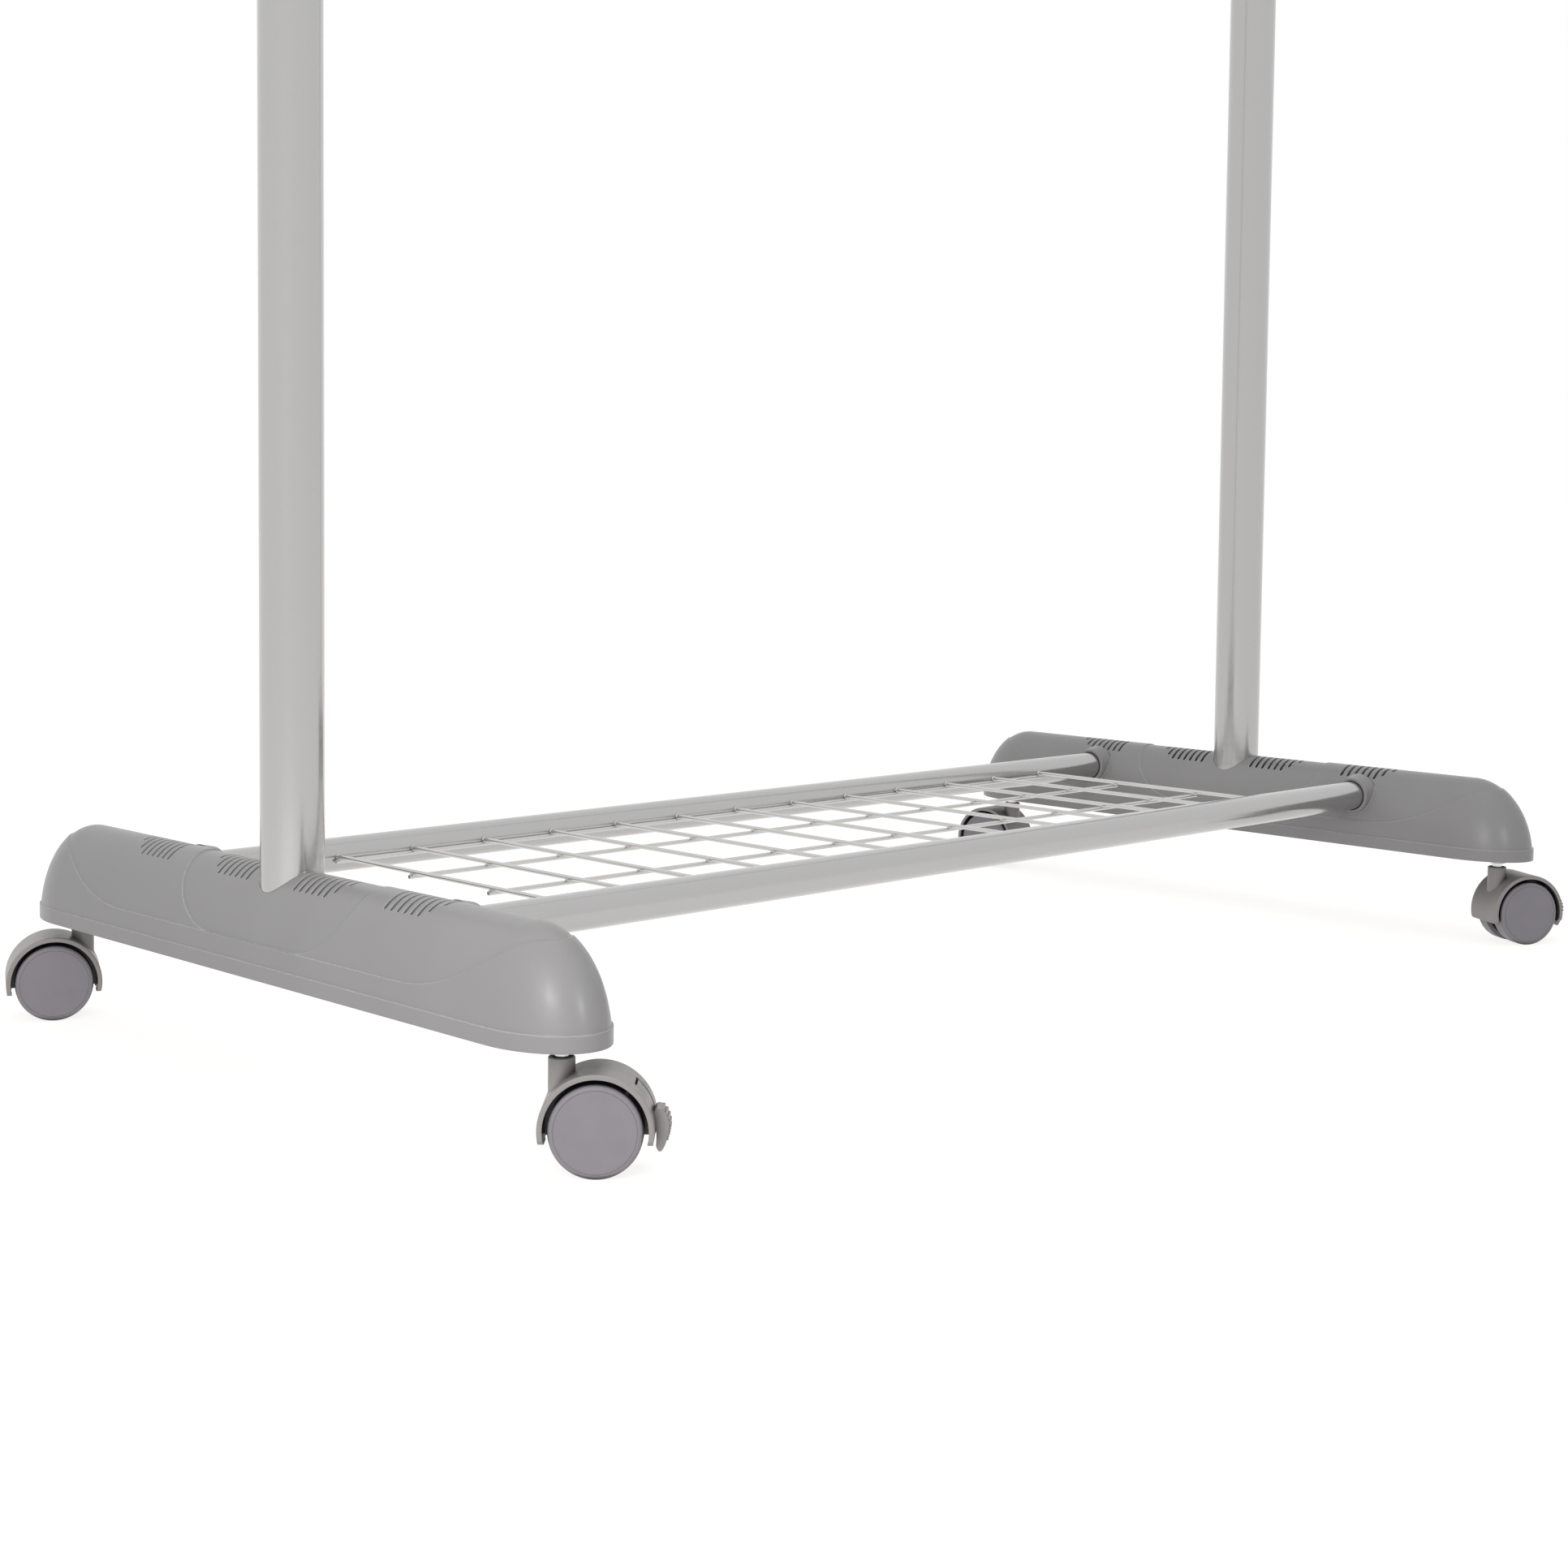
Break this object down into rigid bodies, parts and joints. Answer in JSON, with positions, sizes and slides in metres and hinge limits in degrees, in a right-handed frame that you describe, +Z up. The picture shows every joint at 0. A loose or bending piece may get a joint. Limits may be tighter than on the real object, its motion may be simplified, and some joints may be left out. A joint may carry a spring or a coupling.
{
  "type": "rolling clothes rack",
  "caption": "Rolling clothes rack: height-adjustable hanging rail on two uprights, vented feet, wire shelf between round rails, swivelling twin-wheel casters, brakes at the front.",
  "frame": {"origin": "on the floor, midway between the four casters", "axes": "+X along the rails, -Y towards the front casters with brakes, +Z up"},
  "size_m": [1.094, 0.6022, 1.437],
  "materials": {
    "shell_plastic": "fine satin moulding",
    "hood_plastic": "satin moulding",
    "wheel_plastic": "satin moulding",
    "dark_plastic": "matt",
    "clear_plastic": "natural nylon",
    "silver_paint": "silver metallic powder coat",
    "wire_silver": "silver metallic powder coat",
    "zinc_steel": "bright zinc plate",
    "raw_steel": "rolled steel"
  },
  "bodies": {
    "base": {"foot_shell_left": "shell_plastic", "foot_channel_left": "raw_steel", "caster_socket_blocks_left": "dark_plastic", "outer_upright_left": "silver_paint", "guide_sleeve_left": "clear_plastic", "clamp_collar_left": "shell_plastic", "foot_shell_right": "shell_plastic", "foot_channel_right": "raw_steel", "caster_socket_blocks_right": "dark_plastic", "outer_upright_right": "silver_paint", "guide_sleeve_right": "clear_plastic", "clamp_collar_right": "shell_plastic", "upright_plugs": "raw_steel", "upright_bolts": "zinc_steel", "shell_screws": "zinc_steel", "rail_screws": "zinc_steel", "socket_screws": "zinc_steel", "stem_grip_rings": "zinc_steel", "front_rail": "silver_paint", "back_rail": "silver_paint", "shelf_cross_wires": "wire_silver", "shelf_long_wires": "wire_silver", "caster_stem_front_left": "zinc_steel", "caster_stem_back_left": "zinc_steel", "caster_stem_front_right": "zinc_steel", "caster_stem_back_right": "zinc_steel"},
    "top": {"inner_upright_left": "silver_paint", "top_fitting_left": "shell_plastic", "inner_upright_right": "silver_paint", "top_fitting_right": "shell_plastic", "inner_tube_bushes": "dark_plastic", "fitting_screws": "zinc_steel", "hanging_rail": "silver_paint", "hanging_rail_caps": "shell_plastic"},
    "knob_left": {"clamp_knob_left": "dark_plastic", "clamp_stud_left": "zinc_steel"},
    "knob_right": {"clamp_knob_right": "dark_plastic", "clamp_stud_right": "zinc_steel"},
    "caster_fork_front_left": {"caster_hood_front_left": "hood_plastic", "caster_axle_front_left": "zinc_steel", "brake_pin_front_left": "zinc_steel"},
    "wheel_outer_front_left": {"caster_wheel_outer_front_left": "wheel_plastic"},
    "wheel_inner_front_left": {"caster_wheel_inner_front_left": "wheel_plastic"},
    "brake_front_left": {"brake_lever_front_left": "hood_plastic"},
    "caster_fork_back_left": {"caster_hood_back_left": "hood_plastic", "caster_axle_back_left": "zinc_steel"},
    "wheel_outer_back_left": {"caster_wheel_outer_back_left": "wheel_plastic"},
    "wheel_inner_back_left": {"caster_wheel_inner_back_left": "wheel_plastic"},
    "caster_fork_front_right": {"caster_hood_front_right": "hood_plastic", "caster_axle_front_right": "zinc_steel", "brake_pin_front_right": "zinc_steel"},
    "wheel_outer_front_right": {"caster_wheel_outer_front_right": "wheel_plastic"},
    "wheel_inner_front_right": {"caster_wheel_inner_front_right": "wheel_plastic"},
    "brake_front_right": {"brake_lever_front_right": "hood_plastic"},
    "caster_fork_back_right": {"caster_hood_back_right": "hood_plastic", "caster_axle_back_right": "zinc_steel"},
    "wheel_outer_back_right": {"caster_wheel_outer_back_right": "wheel_plastic"},
    "wheel_inner_back_right": {"caster_wheel_inner_back_right": "wheel_plastic"}
  },
  "joints": [
    {"name": "height_slide", "type": "slide", "parent": "base", "child": "top", "axis": [0, 0, 1], "range_m": [-0.3, 0.25]},
    {"name": "swivel_front_left", "type": "hinge", "parent": "base", "child": "caster_fork_front_left", "pos_m": [-0.48, -0.252, 0.06], "axis": [0, 0, 1], "continuous": true},
    {"name": "spin_outer_front_left", "type": "hinge", "parent": "caster_fork_front_left", "child": "wheel_outer_front_left", "pos_m": [-0.46645, -0.26532, 0.025], "axis": [0.7009, 0.7133, 0], "continuous": true},
    {"name": "spin_inner_front_left", "type": "hinge", "parent": "caster_fork_front_left", "child": "wheel_inner_front_left", "pos_m": [-0.46645, -0.26532, 0.025], "axis": [0.7009, 0.7133, 0], "continuous": true},
    {"name": "brake_front_left", "type": "hinge", "parent": "caster_fork_front_left", "child": "brake_front_left", "pos_m": [-0.45174, -0.27977, 0.04423], "axis": [-0.7009, -0.7133, 0], "range_deg": [0, 24]},
    {"name": "swivel_back_left", "type": "hinge", "parent": "base", "child": "caster_fork_back_left", "pos_m": [-0.48, 0.252, 0.06], "axis": [0, 0, 1], "continuous": true},
    {"name": "spin_outer_back_left", "type": "hinge", "parent": "caster_fork_back_left", "child": "wheel_outer_back_left", "pos_m": [-0.49708, 0.26033, 0.025], "axis": [-0.4384, -0.8988, 0], "continuous": true},
    {"name": "spin_inner_back_left", "type": "hinge", "parent": "caster_fork_back_left", "child": "wheel_inner_back_left", "pos_m": [-0.49708, 0.26033, 0.025], "axis": [-0.4384, -0.8988, 0], "continuous": true},
    {"name": "swivel_front_right", "type": "hinge", "parent": "base", "child": "caster_fork_front_right", "pos_m": [0.48, -0.252, 0.06], "axis": [0, 0, 1], "continuous": true},
    {"name": "spin_outer_front_right", "type": "hinge", "parent": "caster_fork_front_right", "child": "wheel_outer_front_right", "pos_m": [0.49667, -0.26112, 0.025], "axis": [0.4802, 0.8771, 0], "continuous": true},
    {"name": "spin_inner_front_right", "type": "hinge", "parent": "caster_fork_front_right", "child": "wheel_inner_front_right", "pos_m": [0.49667, -0.26112, 0.025], "axis": [0.4802, 0.8771, 0], "continuous": true},
    {"name": "brake_front_right", "type": "hinge", "parent": "caster_fork_front_right", "child": "brake_front_right", "pos_m": [0.51476, -0.27103, 0.04423], "axis": [-0.4802, -0.8771, 0], "range_deg": [0, 24]},
    {"name": "swivel_back_right", "type": "hinge", "parent": "base", "child": "caster_fork_back_right", "pos_m": [0.48, 0.252, 0.06], "axis": [0, 0, 1], "continuous": true},
    {"name": "spin_outer_back_right", "type": "hinge", "parent": "caster_fork_back_right", "child": "wheel_outer_back_right", "pos_m": [0.47818, 0.27091, 0.025], "axis": [-0.9954, -0.0958, 0], "continuous": true},
    {"name": "spin_inner_back_right", "type": "hinge", "parent": "caster_fork_back_right", "child": "wheel_inner_back_right", "pos_m": [0.47818, 0.27091, 0.025], "axis": [-0.9954, -0.0958, 0], "continuous": true},
    {"name": "clamp_knob_left", "type": "hinge", "parent": "base", "child": "knob_left", "pos_m": [-0.52, 0, 0.947], "axis": [-1, 0, 0], "range_deg": [0, 360]},
    {"name": "clamp_knob_right", "type": "hinge", "parent": "base", "child": "knob_right", "pos_m": [0.52, 0, 0.947], "axis": [1, 0, 0], "range_deg": [0, 360]}
  ]
}
